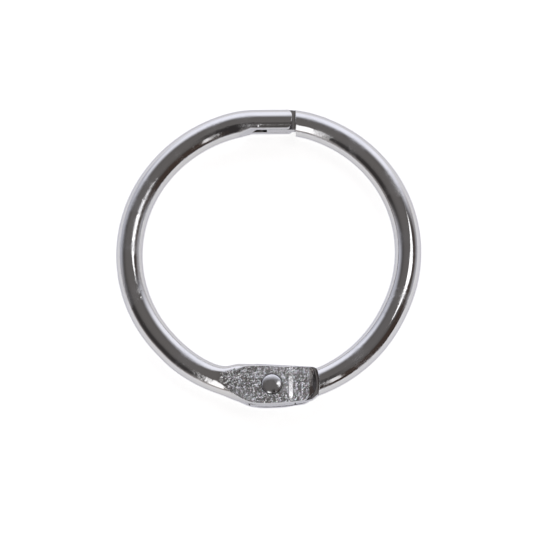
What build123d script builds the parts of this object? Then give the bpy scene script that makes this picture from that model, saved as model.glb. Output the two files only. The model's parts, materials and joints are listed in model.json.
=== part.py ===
from build123d import *
import os
from math import acos, asin, atan2, cos, degrees, radians, sin, sqrt

# A hinged key ring lying flat: two half rings of plated steel wire, a riveted fork hinge at
# the front (-Y) and a snap closure at the back (+Y). Millimetres, +Z up, underside at Z = 0.

# ---- ring ------------------------------------------------------------------------------
inside_d = 38.1             # clear inside diameter
wire_d = 4.0                # round wire
wire_r = wire_d / 2
ring_r = (inside_d + wire_d) / 2        # radius of the wire's centreline

# ---- hinge -----------------------------------------------------------------------------
open_angle = 100.0          # swing of the tongue half from closed to fully open
rivet_x = 0.65              # the rivet sits this far to the right of the ring's middle
rivet_r = 1.1
rivet_gap = 0.05            # radial running clearance of the eye on the rivet
head_r = 1.5                # domed rivet head
head_edge = 0.12            # straight rim under the dome
crown_drop = 0.13           # the dome's crown stays this far below the wire's crown
recess_gap = 0.12           # radial gap between head and the recess it sits in
recess_depth = 0.25

fork_t = 2.9                # thickness over both cheeks
fork_in = 2.85              # pressed face, from the centreline towards the ring's inside
fork_out = 2.95             # and towards its outside
bulge_in = 0.60             # the pressed sides stand out past the flat's edge
bulge_out = 0.12
fork_lean = 3.4             # degrees the straight inner side leans, towards the ring at the neck
fork_end_r = 6.7            # rounded end of the fork, about the rivet
corner_in = 1.4             # corners of that end
corner_out = 3.0
press_x = 2.6               # the end of the fork is pressed thinner from here, past the rivet
press_ramp = 0.55
press_depth = 0.22
press_spread = 0.10         # and its flat spreads this much wider on the outer side
bevel_len = 1.05            # long bevel at the very end of both cheeks
bevel_depth = 0.52

slot_t = 1.10               # slot between the cheeks
eye_gap = 0.08              # clearance of the eye to each cheek
eye_t = slot_t - 2 * eye_gap
eye_r = 4.30                # rounded back of the eye, about the rivet
eye_end_gap = 0.12          # from there to the bottom of the slot
flush_gap = 0.06            # eye inside the fork's two sides
swing_gap = 0.12            # arm to the root of the fork when fully open
arm_w = 0.92 * wire_d       # flat arm where it meets the wire
end_gap = 0.40              # fork end to the wire's hollow shoulder
end_clear = 0.02            # the cut round the fork's end stays off its outer side
shoulder_r = fork_end_r + end_gap
flare_deg = 68.6            # the tongue half bends out a little from here down to the hinge
flare_r = 29.0
flare_sweep = 7.0
bend_r = 20.8               # then bends round again

# ---- closure ---------------------------------------------------------------------------
flat_drop = 0.33            # the wire runs straight here, this far inside the circle
blend_r = 14.0              # bend between the straight run and the circle
close_y = ring_r - flat_drop
cheek_tip = 3.5             # end of the cheek tips, right of the middle
shoulder_x = 4.05           # square shoulder of the tongue half
tongue_tip = -0.35          # free end of the tongue
mouth_end = -1.0            # bottom of the slot between the cheek tips
run_out = 1.7               # the slot runs out this much further on the inner flat
run_out_depth = 0.45
mouth_t = 1.20
snap_gap = 0.06             # tongue to each cheek tip
tongue_t = mouth_t - 2 * snap_gap
shave = 0.68                # depth of the flat pressed on the inner side
shave_x = -2.8              # start of that flat
shave_ramp = 1.6
tip_outer = 1.5             # corner radii of the cheek tips
tip_inner = 0.8

# ---- derived places (ring centre at the origin, wire's mid-plane at Z = 0) --------------
rivet = (rivet_x, -sqrt(ring_r ** 2 - rivet_x ** 2))
rivet_deg = degrees(asin(rivet_x / ring_r))
shave_y = close_y - wire_r + shave
blend_x = sqrt((ring_r - blend_r) ** 2 - (close_y - blend_r) ** 2)
blend_deg = degrees(acos((close_y - blend_r) / (ring_r - blend_r)))

fork_side = fork_out + bulge_out
inner_side = ring_r - fork_in - bulge_in        # from the ring's centre to the straight side
slot_r = eye_r + eye_end_gap                    # the slot's hollow bottom, about the rivet


def polar(radius, deg):
    """Point at this radius; degrees from -Y towards +X."""
    return radius * sin(radians(deg)), -radius * cos(radians(deg))


def arc_centre(centre, radius, new_radius, deg):
    """Centre of an arc that goes on smoothly from another one, at this place on it."""
    shift = polar(radius - new_radius, deg)
    return centre[0] + shift[0], centre[1] + shift[1]


# The tongue half's wire meets the hinge where its last bend is shoulder_r from the rivet.
flare_centre = arc_centre((0, 0), ring_r, flare_r, flare_deg)
bend_centre = arc_centre(flare_centre, flare_r, bend_r, flare_deg - flare_sweep)
across = rivet[0] - bend_centre[0], rivet[1] - bend_centre[1]
span = sqrt(across[0] ** 2 + across[1] ** 2)
to_rivet = degrees(atan2(across[0], -across[1]))
past_rivet = degrees(acos((span ** 2 + bend_r ** 2 - shoulder_r ** 2) / (2 * span * bend_r)))
meet_deg = to_rivet + past_rivet
meet = polar(bend_r, meet_deg)
arm_deg = degrees(atan2(bend_centre[1] + meet[1] - rivet[1], bend_centre[0] + meet[0] - rivet[0]))
bend_sweep = flare_deg - flare_sweep - to_rivet

# Pressing of the wire into the fork, along the wire. Distance back from the rivet, then how
# far each edge has gone from round wire (0) to pressed fork (1): inner and outer edge of the
# flat, inner and outer side, thickness.
neck = [
    (18.00, 0.00, 0.00, 0.00, 0.00, 0.00),
    (16.20, 0.00, 0.00, -0.03, 0.05, 0.00),
    (14.40, 0.00, 0.00, -0.07, 0.11, 0.00),
    (12.30, 0.00, 0.01, -0.11, 0.15, 0.00),
    (10.20, 0.04, 0.05, -0.12, 0.18, 0.01),
    (9.10, 0.10, 0.14, -0.09, 0.19, 0.05),
    (8.18, 0.18, 0.25, 0.00, 0.20, 0.15),
    (7.40, 0.26, 0.35, 0.17, 0.22, 0.32),
    (6.60, 0.37, 0.46, 0.47, 0.27, 0.54),
    (5.80, 0.55, 0.60, 0.69, 0.39, 0.75),
    (4.90, 0.78, 0.72, 0.80, 0.53, 0.91),
    (4.03, 0.91, 0.85, 0.87, 0.68, 0.98),
    (3.22, 0.95, 0.94, 0.92, 0.85, 1.00),
    (2.20, 0.98, 0.99, 0.97, 0.95, 1.00),
]
fork_steps = 8
fork_reach = fork_end_r + 1.2           # the pressed length is cut back to the fork's end
fork_run = [rivet_x - (rivet_x + fork_reach) * i / (fork_steps - 1) for i in range(fork_steps)]


def between(a, b, share):
    return a + (b - a) * share


def pressed_section(back, flat_in, flat_out, side_in, side_out, thick):
    """Wire section: flat top and bottom, curved sides; radii from the ring's centre."""
    turn = 270 + rivet_deg - degrees(back / ring_r)
    plane = Plane(origin=(0, 0, 0), x_dir=(cos(radians(turn)), sin(radians(turn)), 0),
                  z_dir=(sin(radians(turn)), -cos(radians(turn)), 0))
    h = thick / 2
    edges = [
        Line((flat_in, h), (flat_out, h)),
        ThreePointArc((flat_out, h), (side_out, 0), (flat_out, -h)),
        Line((flat_out, -h), (flat_in, -h)),
        ThreePointArc((flat_in, -h), (side_in, 0), (flat_in, h)),
    ]
    return plane * make_face(edges)


def pressed_fork():
    """The wire from round, through the neck, to the full width of the fork."""
    crown = 0.05
    round_t = 2 * sqrt(wire_r ** 2 - crown ** 2)
    sections = []
    for back, flat_in, flat_out, side_in, side_out, thick in neck:
        sections.append(pressed_section(
            back,
            ring_r - between(crown, fork_in, flat_in),
            ring_r + between(crown, fork_out, flat_out),
            ring_r - between(wire_r, fork_in + bulge_in, side_in),
            ring_r + between(wire_r, fork_side, side_out),
            between(round_t, fork_t, thick)))
    for back in fork_run:
        lean = cos(back / ring_r - radians(rivet_deg + fork_lean))      # keeps it straight
        spread = press_spread if -back > press_x + press_ramp else 0
        sections.append(pressed_section(
            back,
            (inner_side + bulge_in) / lean,
            ring_r + fork_out + spread,
            inner_side / lean,
            ring_r + fork_side,
            fork_t))
    return loft(sections)


def fork_end():
    """Everything past the fork's rounded end, to be taken off."""
    reach = 3 * fork_end_r
    half = fork_in + bulge_in
    keep = Pos(-reach / 2, 0) * Rectangle(reach, 4 * half) + Circle(fork_end_r)
    keep &= Pos(0, -2 * half + half) * Rectangle(4 * reach, 4 * half)
    keep &= Pos(-rivet[0], -rivet[1]) * Circle(ring_r + fork_side + end_clear)
    corners = keep.vertices().filter_by(lambda v: v.X > fork_end_r / 2).sort_by(Axis.Y)
    keep = fillet(corners[0], corner_out)
    corners = keep.vertices().filter_by(lambda v: v.X > fork_end_r / 2).sort_by(Axis.Y)
    keep = fillet(corners[-1], corner_in)
    away = Pos(reach / 2, 0) * Rectangle(reach, 8 * half) - keep
    return extrude(away, wire_d, both=True)


def press_cut():
    """Upper half of the thinner pressed end: a ramp down, then a long bevel to the tip."""
    top = fork_t / 2
    low = top - press_depth
    tip = low - bevel_depth
    side = Polyline(
        (press_x, top), (press_x + press_ramp, low), (fork_end_r - bevel_len, low),
        (fork_end_r, tip), (fork_end_r + 2, tip), (fork_end_r + 2, wire_r + 1),
        (press_x, wire_r + 1), close=True)
    return extrude(Plane.XZ * make_face(side), 3 * fork_in, both=True)


def round_wire(start_x, side, arcs):
    """Round wire: straight run from start_x, blend, then arcs of (centre, radius, degrees)."""
    turned = 90 - side * blend_deg
    path = Line((start_x, close_y), (side * blend_x, close_y))
    path += CenterArc((side * blend_x, close_y - blend_r), blend_r, 90, -side * blend_deg)
    for centre, radius, sweep_deg in arcs:
        path += CenterArc(centre, radius, turned, -side * sweep_deg)
        turned -= side * sweep_deg
    face = Plane(origin=(start_x, close_y, 0), z_dir=(side, 0, 0)) * Circle(wire_r)
    return sweep(face, path=path)


def build_fork_half():
    neck_deg = 180 + rivet_deg - degrees(neck[0][0] / ring_r)
    body = round_wire(cheek_tip, -1, [((0, 0), ring_r, neck_deg - blend_deg)])
    hinge = pressed_fork()
    at_rivet = Pos(*rivet)
    hinge -= at_rivet * fork_end()
    hinge -= at_rivet * press_cut()
    hinge -= at_rivet * mirror(press_cut(), Plane.XY)
    body += hinge
    # hinge slot, rivet hole and head recesses
    slot_len = fork_end_r + 2
    slot = Circle(slot_r) + Pos(slot_len / 2, 0) * Rectangle(slot_len, 4 * fork_in)
    body -= at_rivet * extrude(slot, slot_t / 2, both=True)
    body -= at_rivet * Cylinder(rivet_r, 2 * wire_d)
    for up in (1, -1):
        floor = fork_t / 2 - recess_depth
        body -= at_rivet * Pos(0, 0, up * (floor + 1)) * Cylinder(head_r + recess_gap, 2)
    # closure: flat inner side, slot, rounded tips
    far = cheek_tip + 1
    flat = Polyline((shave_x - shave_ramp, shave_y - shave), (shave_x, shave_y), (far, shave_y),
                    (far, shave_y - 2), (shave_x - shave_ramp, shave_y - 2), close=True)
    body -= extrude(make_face(flat), wire_d, both=True)
    top, bottom = close_y + 2 * wire_r, shave_y - 1
    mouth = Polyline((far, top), (mouth_end, top), (mouth_end, shave_y + run_out_depth),
                     (mouth_end - run_out, shave_y), (mouth_end - run_out, bottom), (far, bottom),
                     close=True)
    body -= extrude(make_face(mouth), mouth_t / 2, both=True)
    body -= tip_rounding()
    return body


def tip_rounding():
    """Corners taken off the cheek tips, seen from above."""
    top = close_y + wire_r
    corners = [(-tip_outer, top, tip_outer, 1), (-tip_inner, shave_y, tip_inner, -1)]
    cut = Part()
    for dx, y, r, up in corners:
        x0 = cheek_tip - r
        block = Pos(x0 + r, y - up * r + up * r) * Rectangle(2 * r, 2 * r)
        disc = Pos(x0, y - up * r) * Circle(r)
        inner = Pos(x0, y - 2 * up * r) * Rectangle(4 * r, 2 * r)
        cut += extrude(block - disc - inner, wire_d, both=True)
    return cut


def build_tongue_half():
    body = round_wire(tongue_tip, 1, [((0, 0), ring_r, 180 - flare_deg - blend_deg),
                                      (flare_centre, flare_r, flare_sweep),
                                      (bend_centre, bend_r, bend_sweep)])
    # closure tongue and its square shoulder
    reach = shoulder_x - tongue_tip + 1
    mid_x = shoulder_x - reach / 2
    for up in (1, -1):
        body -= Pos(mid_x, close_y, up * (tongue_t / 2 + wire_r)) * Box(reach, 2 * wire_d, wire_d)
    body -= Pos(mid_x, shave_y - wire_r) * Box(reach, wire_d, wire_d)
    # hinge: hollow shoulder, then the eye
    at_rivet = Pos(*rivet)
    body -= at_rivet * Cylinder(shoulder_r, 2 * wire_d)
    body = max(body.solids(), key=lambda s: s.volume)
    eye = at_rivet * extrude(eye_outline(), eye_t / 2, both=True)
    return body + (eye - at_rivet * Cylinder(rivet_r + rivet_gap, wire_d))


def eye_outline():
    """Eye and arm seen from above, about the rivet: as wide as the fork, then down to the wire."""
    ring_centre = Pos(-rivet[0], -rivet[1])
    far = 2 * shoulder_r
    wide = fork_side + 1
    arm = shoulder_r + wire_r / 4
    full = fork_end_r - corner_out
    right = Polyline((0, -wide), (full, -wide), (shoulder_r, -arm_w / 2), (arm, -arm_w / 2),
                     (arm, arm_w / 2), (shoulder_r, arm_w / 2), (full, wide), (0, wide), close=True)
    shape = Circle(eye_r) + Rot(0, 0, arm_deg) * make_face(right)
    # inside the fork's two sides
    shape &= ring_centre * Circle(ring_r + fork_side - flush_gap)
    inner = inner_side + flush_gap + far
    shape &= ring_centre * Rot(0, 0, -fork_lean) * Pos(0, -inner) * Rectangle(4 * far, 2 * far)
    # room for the root of the fork when fully open
    root = ring_centre * Circle(ring_r + fork_side + swing_gap) - Circle(eye_r)
    root &= Pos(-far / 2, 0) * Rectangle(far, 2 * far)
    return shape - Rot(0, 0, open_angle) * root


def build_rivet():
    floor = fork_t / 2 - recess_depth
    rim = floor + recess_depth + head_edge
    crown = wire_r - crown_drop
    rise = crown - rim
    dome_r = (head_r ** 2 + rise ** 2) / (2 * rise)
    shank = Cylinder(rivet_r, 2 * floor)
    head = Pos(0, 0, (floor + crown) / 2) * Cylinder(head_r, crown - floor)
    head &= Pos(0, 0, crown - dome_r) * Sphere(dome_r)
    return Pos(*rivet) * (shank + head + mirror(head, Plane.XY))


# ---- placing: bounding box centred over the origin, underside on Z = 0 ------------------
back_y = close_y + wire_r
front_y = -(ring_r + fork_side)
place = Pos(0, -(back_y + front_y) / 2, wire_r)

parts = {
    "fork_half": build_fork_half(),
    "tongue_half": build_tongue_half(),
    "hinge_rivet": build_rivet(),
}

os.makedirs("parts", exist_ok=True)
for name, shape in parts.items():
    solid = place * shape
    solid.label = name
    export_step(solid, f"parts/{name}.step")
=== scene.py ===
import bpy
import json
import math
from mathutils import Matrix, Vector


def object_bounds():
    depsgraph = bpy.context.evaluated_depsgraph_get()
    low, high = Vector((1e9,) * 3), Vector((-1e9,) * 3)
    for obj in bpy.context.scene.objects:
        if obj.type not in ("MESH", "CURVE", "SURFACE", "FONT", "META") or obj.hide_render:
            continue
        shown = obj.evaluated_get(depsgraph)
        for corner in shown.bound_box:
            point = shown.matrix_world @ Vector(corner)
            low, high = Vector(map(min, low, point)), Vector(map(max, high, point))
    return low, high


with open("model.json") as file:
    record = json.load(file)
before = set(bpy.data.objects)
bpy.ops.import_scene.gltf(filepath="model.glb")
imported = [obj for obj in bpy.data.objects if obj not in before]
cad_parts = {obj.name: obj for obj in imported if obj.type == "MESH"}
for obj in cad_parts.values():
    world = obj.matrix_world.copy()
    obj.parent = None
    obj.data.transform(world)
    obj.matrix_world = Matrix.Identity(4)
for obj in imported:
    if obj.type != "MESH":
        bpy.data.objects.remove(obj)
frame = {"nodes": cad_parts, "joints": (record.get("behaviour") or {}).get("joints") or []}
cad_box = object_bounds()

# ---- places, read from the frame ---------------------------------------------------------
hinge = frame["joints"][0]
RIVET = Vector(hinge["pos_m"])
RING_R = 0.02105          # to the centreline of the wire
CENTRE = Vector((0.0, RIVET.y + math.sqrt(RING_R ** 2 - RIVET.x ** 2), RIVET.z))
WIRE_R = RIVET.z

# along the fork, from its root at the neck to its bevelled end
NECK_TIP = RIVET.x - 0.0085     # the flat faces run out here
NECK_NARROW = RIVET.x - 0.0045
NECK_WIDE = RIVET.x - 0.0025
PAD_X = RIVET.x + 0.0022        # the thinner pressed end lies past here
BEVEL_X = RIVET.x + 0.0056
SOFT_EDGE = 0.00045             # radius of worn edges
CRISP_EDGE = 0.00020


# ---- node helpers ------------------------------------------------------------------------
class Nodes:
    """Short spellings for building a node tree."""

    def __init__(self, tree):
        self.tree = tree
        tree.nodes.clear()

    def new(self, kind, **settings):
        node = self.tree.nodes.new(kind)
        for key, value in settings.items():
            setattr(node, key, value)
        return node

    def plug(self, socket, value):
        if isinstance(value, bpy.types.NodeSocket):
            self.tree.links.new(value, socket)
        elif value is not None:
            socket.default_value = value

    def math(self, op, a, b=None, c=None):
        node = self.new("ShaderNodeMath", operation=op)
        for i, value in enumerate((a, b, c)):
            self.plug(node.inputs[i], value)
        return node.outputs[0]

    def vmath(self, op, a, b=None):
        node = self.new("ShaderNodeVectorMath", operation=op)
        self.plug(node.inputs[0], a)
        self.plug(node.inputs[1], b)
        return node.outputs["Value" if op == "DOT_PRODUCT" else "Vector"]

    def smooth(self, x, lo, hi, out_lo=0.0, out_hi=1.0):
        node = self.new("ShaderNodeMapRange", interpolation_type="SMOOTHSTEP")
        for i, value in enumerate((x, lo, hi, out_lo, out_hi)):
            self.plug(node.inputs[i], value)
        return node.outputs[0]

    def mix_rgb(self, share, a, b):
        node = self.new("ShaderNodeMix", data_type="RGBA")
        self.plug(node.inputs[0], share)
        self.plug(node.inputs[6], a)
        self.plug(node.inputs[7], b)
        return node.outputs[2]

    def noise(self, at, scale, detail=2.0, rough=0.5, output="Fac"):
        node = self.new("ShaderNodeTexNoise")
        self.plug(node.inputs["Vector"], at)
        self.plug(node.inputs["Scale"], scale)
        self.plug(node.inputs["Detail"], detail)
        self.plug(node.inputs["Roughness"], rough)
        return node.outputs[output]

    def cells(self, at, scale, output="Distance"):
        node = self.new("ShaderNodeTexVoronoi")
        self.plug(node.inputs["Vector"], at)
        self.plug(node.inputs["Scale"], scale)
        return node.outputs[output]


def grey(v):
    return (v, v, v, 1)


METAL_WARM = (0.560, 0.545, 0.530, 1)
METAL_COOL = (0.585, 0.592, 0.630, 1)
GRAIN_COOL = (0.52, 0.56, 0.55, 1)
GRAIN_WARM = (0.66, 0.62, 0.66, 1)
PAINTED_GLINT = (1.0, 0.95, 0.95, 1)
# painted shade: a dark reflection laid on the end bevel
BEVEL_PAINTED_SHADE = (0.19, 0.16, 0.145, 1)
# brown grime with painted shade, laid into hollows
GRIME_AND_SHADE = (0.075, 0.048, 0.036, 1)


def plating(name, pressed, edge_radius):
    """Bright plated steel. Drawn wire is smooth; pressed faces carry a coarse glittering grain."""
    mat = bpy.data.materials.new(name)
    mat.use_nodes = True
    n = Nodes(mat.node_tree)
    at = n.new("ShaderNodeTexCoord").outputs["Object"]

    # drawn wire: long faint waves, fine haze in patches and scattered small pits
    waves = n.noise(at, 300.0)
    fine = n.noise(at, 3200.0, 3.0, 0.65)
    patch = n.smooth(n.noise(at, 190.0, 4.0, 0.65), 0.47, 0.62)
    pit = n.smooth(n.cells(at, 520.0), 0.05, 0.13, 1.0, 0.0)
    pit = n.math("MULTIPLY", pit, n.smooth(n.noise(at, 240.0, 1.0), 0.45, 0.6))
    haze = n.math("MULTIPLY_ADD", patch, 1.6, 0.25)
    height = n.math("MULTIPLY_ADD", fine, haze, n.math("MULTIPLY_ADD", pit, -1.0, waves))
    tint = n.mix_rgb(n.noise(at, 90.0), METAL_WARM, METAL_COOL)
    rough = n.math("MULTIPLY_ADD", fine, 0.06, n.math("MULTIPLY_ADD", patch, 0.16, 0.05))
    rough = n.math("MULTIPLY_ADD", pit, 0.15, rough)

    # worn edges; the pressed faces between them stay flat
    edge = n.new("ShaderNodeBevel", samples=8)
    edge.inputs["Radius"].default_value = edge_radius
    rounded = edge.outputs[0]
    if pressed:
        flat, strength, true_normal, x = pressed_faces(n, at)
        worn = n.smooth(x, NECK_WIDE, NECK_NARROW, edge_radius, SOFT_EDGE)
        n.plug(edge.inputs["Radius"], worn)
        keep = n.math("MULTIPLY", flat, n.smooth(x, NECK_NARROW, PAD_X, 0.55, 0.9))
        rounded = n.vmath("NORMALIZE", n.mix_rgb(keep, rounded, true_normal))
    bump = n.new("ShaderNodeBump")
    bump.inputs["Strength"].default_value = 0.30
    bump.inputs["Distance"].default_value = 0.00003
    n.plug(bump.inputs["Height"], height)
    n.plug(bump.inputs["Normal"], rounded)
    normal = bump.outputs[0]

    if pressed:
        normal = glitter_normal(n, at, normal, strength)
        # grain colour, with painted glints and painted shade towards the neck
        tint = n.mix_rgb(n.math("MULTIPLY", strength, 0.75), tint, grain_glints_and_shade(n, at, x))
        # painted shade: the end bevel tinted darker, standing in for the dim room it reflects
        bevel = n.math("MULTIPLY", flat, n.math("GREATER_THAN", x, BEVEL_X))
        tint = n.mix_rgb(n.math("MULTIPLY", bevel, 0.40), tint, BEVEL_PAINTED_SHADE)
        rough = n.math("MULTIPLY_ADD", strength, 0.10, rough)

    # brown grime left in the slots and gaps, with painted shade: darker and browner where ambient
    # occlusion finds the part shading itself
    hollow = n.new("ShaderNodeAmbientOcclusion", samples=8, only_local=True)
    hollow.inputs["Distance"].default_value = 0.0007
    grime_and_shade = n.smooth(hollow.outputs["AO"], 0.80, 0.45)
    tint = n.mix_rgb(grime_and_shade, tint, GRIME_AND_SHADE)
    rough = n.math("MULTIPLY_ADD", grime_and_shade, 0.3, rough)

    shader = n.new("ShaderNodeBsdfPrincipled")
    shader.inputs["Metallic"].default_value = 1.0
    shader.inputs["Specular Tint"].default_value = (0.70, 0.70, 0.76, 1)
    n.plug(shader.inputs["Base Color"], tint)
    n.plug(shader.inputs["Roughness"], rough)
    n.plug(shader.inputs["Normal"], normal)
    out = n.new("ShaderNodeOutputMaterial")
    n.plug(out.inputs[0], shader.outputs[0])
    return mat


def grain_glints_and_shade(n, at, x):
    """Grey grains of two tones with painted glints, bright coloured highlights, among them; painted
    shade makes it darker towards the neck.
    """
    colour = n.mix_rgb(n.smooth(n.noise(at, 2600.0, 1.0), 0.4, 0.6), GRAIN_COOL, GRAIN_WARM)
    # painted highlights: bright coloured glints on single grains, fewer towards the neck
    glint = n.smooth(n.cells(at, 3300.0), 0.30, 0.16)
    glint = n.math("MULTIPLY", glint, n.smooth(x, RIVET.x - 0.004, RIVET.x + 0.0015, 0.35, 1.0))
    hue = n.mix_rgb(0.45, PAINTED_GLINT, n.cells(at, 3300.0, "Color"))
    colour = n.mix_rgb(n.math("MULTIPLY", glint, 0.8), colour, hue)
    # painted shade: darker grey towards the neck, where the sloping flat reflects the dim room
    darker = n.smooth(x, RIVET.x - 0.002, RIVET.x - 0.007, 0.0, 0.5)
    return n.mix_rgb(darker, colour, grey(0.22))


def pressed_faces(n, at):
    """Masks over the fork: its flat faces, and the grain on them. Also the true normal, and x."""
    place = n.new("ShaderNodeSeparateXYZ")
    n.plug(place.inputs[0], at)
    x, y, z = place.outputs
    true_normal = n.new("ShaderNodeNewGeometry").outputs["True Normal"]
    facing = n.new("ShaderNodeSeparateXYZ")
    n.plug(facing.inputs[0], true_normal)
    up = n.math("ABSOLUTE", facing.outputs[2])

    # flat faces: level ones, and past the pad's start the riser and bevel too
    hinge_side = n.math("MULTIPLY", n.math("LESS_THAN", y, RIVET.y + 0.0050),
                        n.math("GREATER_THAN", x, NECK_TIP))
    above = n.math("ABSOLUTE", n.math("SUBTRACT", z, RIVET.z))
    sunk = n.smooth(above, 0.99 * WIRE_R, 0.95 * WIRE_R)
    level = n.math("GREATER_THAN", up, 0.955)
    sloped = n.math("MULTIPLY", n.math("GREATER_THAN", up, 0.80), n.math("GREATER_THAN", x, PAD_X))
    flat = n.math("MULTIPLY", n.math("MAXIMUM", level, sloped), n.math("MULTIPLY", hinge_side, sunk))

    # grain: ragged at the neck, rubbed off in the middle of the riser, none on the bevel
    ragged = n.math("MULTIPLY_ADD", n.noise(at, 700.0), 0.0022, x)
    neck = n.smooth(ragged, RIVET.x - 0.0078, RIVET.x - 0.0050)
    rubbed = n.math("MULTIPLY_ADD", n.noise(at, 900.0), 0.0016, y)
    riser = n.math("MULTIPLY", n.smooth(rubbed, RIVET.y - 0.0015, RIVET.y - 0.0007),
                   n.smooth(rubbed, RIVET.y + 0.0026, RIVET.y + 0.0008))
    grain = n.math("MAXIMUM", n.math("GREATER_THAN", up, 0.975),
                   n.math("SUBTRACT", 0.75, n.math("MULTIPLY", riser, 0.70)))
    before_bevel = n.smooth(x, BEVEL_X + 0.00012, BEVEL_X + 0.00002)
    grain = n.math("MULTIPLY", grain, n.math("MULTIPLY", neck, before_bevel))
    return flat, n.math("MULTIPLY", grain, flat), true_normal, x


def glitter_normal(n, at, normal, strength):
    """Tilts the normal by a random amount in each grain, at two grain sizes."""
    wander = 0.00016
    bent = n.vmath("MULTIPLY", n.noise(at, 2400.0, 1.0, output="Color"), (wander, wander, wander))
    warp = n.vmath("ADD", at, bent)
    tilt = None
    for scale, much in ((4300.0, 0.46), (9500.0, 0.44)):
        grain = n.vmath("SUBTRACT", n.cells(warp, scale, "Color"), (0.5, 0.5, 0.5))
        grain = n.vmath("MULTIPLY", grain, (much, much, much))
        tilt = grain if tilt is None else n.vmath("ADD", tilt, grain)
    share = n.new("ShaderNodeCombineXYZ")
    for socket in share.inputs:
        n.plug(socket, strength)
    tilt = n.vmath("MULTIPLY", tilt, share.outputs[0])
    return n.vmath("NORMALIZE", n.vmath("ADD", normal, tilt))


def dress(node, mat):
    obj = frame["nodes"][node]
    for slot in obj.material_slots:
        slot.material = mat
    if not obj.material_slots:
        obj.data.materials.append(mat)


dress("fork_half", plating("plated_pressed_wire", True, CRISP_EDGE))
dress("tongue_half", plating("plated_wire", False, CRISP_EDGE))
dress("hinge_rivet", plating("plated_rivet", False, SOFT_EDGE))


# ---- floor -------------------------------------------------------------------------------
def make_floor():
    mesh = bpy.data.meshes.new("floor")
    half, z = 3.0, cad_box[0].z - 0.00002
    corners = [(-half, -half, z), (half, -half, z), (half, half, z), (-half, half, z)]
    mesh.from_pydata(corners, [], [(0, 1, 2, 3)])
    floor = bpy.data.objects.new("floor", mesh)
    bpy.context.scene.collection.objects.link(floor)
    mat = bpy.data.materials.new("floor")
    mat.use_nodes = True
    n = Nodes(mat.node_tree)
    path = n.new("ShaderNodeLightPath")
    seen = n.math("MAXIMUM", path.outputs["Is Camera Ray"], path.outputs["Is Glossy Ray"])
    matte = n.new("ShaderNodeBsdfDiffuse")
    at = n.new("ShaderNodeTexCoord").outputs["Object"]
    n.plug(matte.inputs["Color"], n.mix_rgb(n.noise(at, 40.0), grey(0.80), grey(0.84)))
    glow = n.new("ShaderNodeEmission")
    glow.inputs["Color"].default_value = grey(1.0)
    n.plug(glow.inputs["Strength"], n.math("MULTIPLY", seen, 0.72))
    both = n.new("ShaderNodeAddShader")
    n.plug(both.inputs[0], matte.outputs[0])
    n.plug(both.inputs[1], glow.outputs[0])
    out = n.new("ShaderNodeOutputMaterial")
    n.plug(out.inputs[0], both.outputs[0])
    mesh.materials.append(mat)


make_floor()


# ---- studio: a dim room with a pale wall behind, and three softboxes ---------------------
def towards(azimuth, elevation):
    """Unit vector; azimuth from +X towards +Y."""
    a, e = math.radians(azimuth), math.radians(elevation)
    return Vector((math.cos(a) * math.cos(e), math.sin(a) * math.cos(e), math.sin(e)))


def panel(n, way, azimuth, elevation, half_wide, half_high, soft):
    """1 inside a soft-edged patch of the room, as seen from the ring; sizes in degrees."""
    ahead = towards(azimuth, elevation)
    side = Vector((-math.sin(math.radians(azimuth)), math.cos(math.radians(azimuth)), 0))
    over = ahead.cross(side)
    depth = n.vmath("DOT_PRODUCT", way, tuple(ahead))
    inside = n.smooth(depth, 0.05, 0.25)
    for axis, half in ((side, half_wide), (over, half_high)):
        off = n.math("ABSOLUTE", n.math("ARCTAN2", n.vmath("DOT_PRODUCT", way, tuple(axis)), depth))
        inside = n.math("MULTIPLY", inside, n.smooth(off, math.radians(half + soft),
                                                     math.radians(max(half - soft, 0))))
    return inside


def make_world():
    world = bpy.data.worlds.new("studio")
    bpy.context.scene.world = world
    world.use_nodes = True
    n = Nodes(world.node_tree)
    way = n.new("ShaderNodeTexCoord").outputs["Generated"]
    split = n.new("ShaderNodeSeparateXYZ")
    n.plug(split.inputs[0], way)
    path = n.new("ShaderNodeLightPath")

    # room: dim at mid height, a little lighter overhead, pale towards the floor
    level = n.smooth(split.outputs[2], 0.55, 0.97, 0.10, 0.19)
    low = n.smooth(split.outputs[2], 0.58, -0.05, 0.0, 0.50)
    level = n.math("ADD", level, low)
    tone = n.new("ShaderNodeCombineXYZ")
    for socket, share in zip(tone.inputs, (1.03, 0.97, 0.94)):
        n.plug(socket, n.math("MULTIPLY", level, share))
    colour = tone.outputs[0]
    # (azimuth, elevation, half width, half height, soft edge, colour)
    panels = [
        (90, 15, 48, 30, 16, (1.42, 1.44, 1.56)),
        (148, 3, 24, 24, 18, (0.72, 0.73, 0.80)),
        (0, 4, 30, 9, 9, (0.60, 0.60, 0.64)),
        (5, 34, 24, 8, 6, (0.105, 0.085, 0.078)),
        (205, 27, 24, 18, 9, (0.060, 0.055, 0.055)),
        (290, 40, 11, 36, 6, (0.050, 0.045, 0.045)),
        (326, 18, 28, 26, 8, (0.080, 0.058, 0.048)),
    ]
    for azimuth, elevation, half_wide, half_high, soft, rgb in panels:
        inside = panel(n, way, azimuth, elevation, half_wide, half_high, soft)
        colour = n.mix_rgb(inside, colour, (*rgb, 1))
    dim = n.new("ShaderNodeBackground")
    n.plug(dim.inputs["Color"], colour)
    dim.inputs["Strength"].default_value = 1.0
    white = n.new("ShaderNodeBackground")
    white.inputs["Color"].default_value = grey(1.0)
    white.inputs["Strength"].default_value = 1.0
    mix = n.new("ShaderNodeMixShader")
    n.plug(mix.inputs[0], path.outputs["Is Camera Ray"])
    n.plug(mix.inputs[1], dim.outputs[0])
    n.plug(mix.inputs[2], white.outputs[0])
    out = n.new("ShaderNodeOutputWorld")
    n.plug(out.inputs[0], mix.outputs[0])


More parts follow.
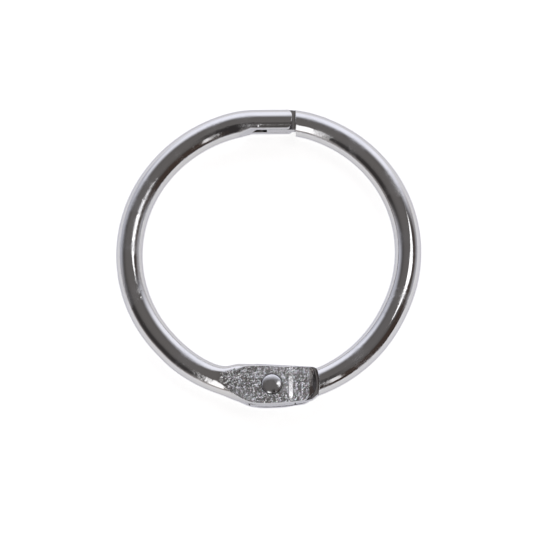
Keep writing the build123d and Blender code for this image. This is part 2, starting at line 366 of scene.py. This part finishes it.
def softbox(name, azimuth, elevation, wide_deg, high_deg, radiance, turn=0.0):
    """Rectangular lamp facing the ring; sizes as seen from it, in degrees."""
    away = 0.8
    way = towards(azimuth, elevation)
    light = bpy.data.lights.new(name, "AREA")
    light.shape = "RECTANGLE"
    light.size = 2 * away * math.tan(math.radians(wide_deg / 2))
    light.size_y = 2 * away * math.tan(math.radians(high_deg / 2))
    light.energy = radiance * math.pi * light.size * light.size_y
    lamp = bpy.data.objects.new(name, light)
    bpy.context.scene.collection.objects.link(lamp)
    spin = way.to_track_quat("Z", "Y").to_matrix().to_4x4()
    lamp.matrix_world = (Matrix.Translation(CENTRE + way * away) @ spin
                         @ Matrix.Rotation(math.radians(turn), 4, "Z"))


make_world()
softbox("softbox_right", 21, 54, 22, 19, 2.1, turn=20)
softbox("softbox_front_left", 247, 36, 20, 46, 1.7)
softbox("strip_front_right", 305, 34, 6, 26, 1.2)


# ---- camera ------------------------------------------------------------------------------
def make_camera():
    away, tilt, swing = 0.7, math.radians(17.6), math.radians(7.45)
    view_width = 0.08044569             # at the ring
    aim_right, aim_up = -0.00030941, -0.00210095
    cam = bpy.data.cameras.new("camera")
    cam.sensor_width = 36.0
    cam.lens = cam.sensor_width * away / view_width
    cam.clip_start, cam.clip_end = 0.01, 20.0
    obj = bpy.data.objects.new("camera", cam)
    bpy.context.scene.collection.objects.link(obj)
    turn = Matrix.Rotation(swing, 3, "Z")
    back = turn @ Vector((0, -math.sin(tilt), math.cos(tilt)))
    right = turn @ Vector((1, 0, 0))
    up = back.cross(right)
    right, up = (math.cos(swing) * right - math.sin(swing) * up,
                 math.sin(swing) * right + math.cos(swing) * up)
    place = CENTRE + back * away + right * aim_right + up * aim_up
    obj.matrix_world = Matrix((
        (right.x, up.x, back.x, place.x),
        (right.y, up.y, back.y, place.y),
        (right.z, up.z, back.z, place.z),
        (0, 0, 0, 1)))
    bpy.context.scene.camera = obj


make_camera()
bpy.context.scene.view_settings.view_transform = "Standard"
